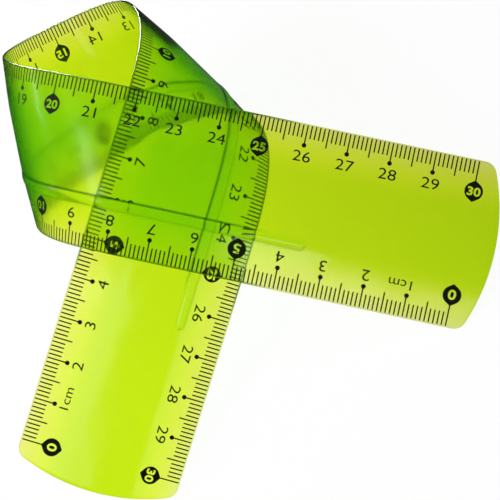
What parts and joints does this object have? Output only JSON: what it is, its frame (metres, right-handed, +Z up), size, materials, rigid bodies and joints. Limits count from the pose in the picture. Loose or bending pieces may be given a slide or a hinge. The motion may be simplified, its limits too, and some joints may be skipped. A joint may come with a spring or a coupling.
{
  "type": "flexible ruler",
  "caption": "Flexible transparent lime plastic ruler curled into a loop with its ends crossing, with a rounded grip rib and black badges along both graduated edges.",
  "frame": {"origin": "middle of the resting object's footprint box, on the table", "axes": "+Z up from the table that the loop and one corner of each end stand on, +X along the line from the far end's corner to the loop, -Y the side that the near end's printed front looks to"},
  "size_m": [0.1248, 0.114, 0.0548],
  "materials": {
    "lime_plastic": "smooth glossy see-through soft plastic",
    "black_ink": "flat screen-printed ink"
  },
  "bodies": {
    "root": {"ruler_strip": "lime_plastic", "ink_badge_upper_00": "black_ink", "ink_badge_upper_05": "black_ink", "ink_badge_upper_10": "black_ink", "ink_badge_upper_15": "black_ink", "ink_badge_upper_20": "black_ink", "ink_badge_upper_25": "black_ink", "ink_badge_upper_30": "black_ink", "ink_badge_lower_00": "black_ink", "ink_badge_lower_05": "black_ink", "ink_badge_lower_10": "black_ink", "ink_badge_lower_15": "black_ink", "ink_badge_lower_20": "black_ink", "ink_badge_lower_25": "black_ink", "ink_badge_lower_30": "black_ink"}
  },
  "joints": []
}
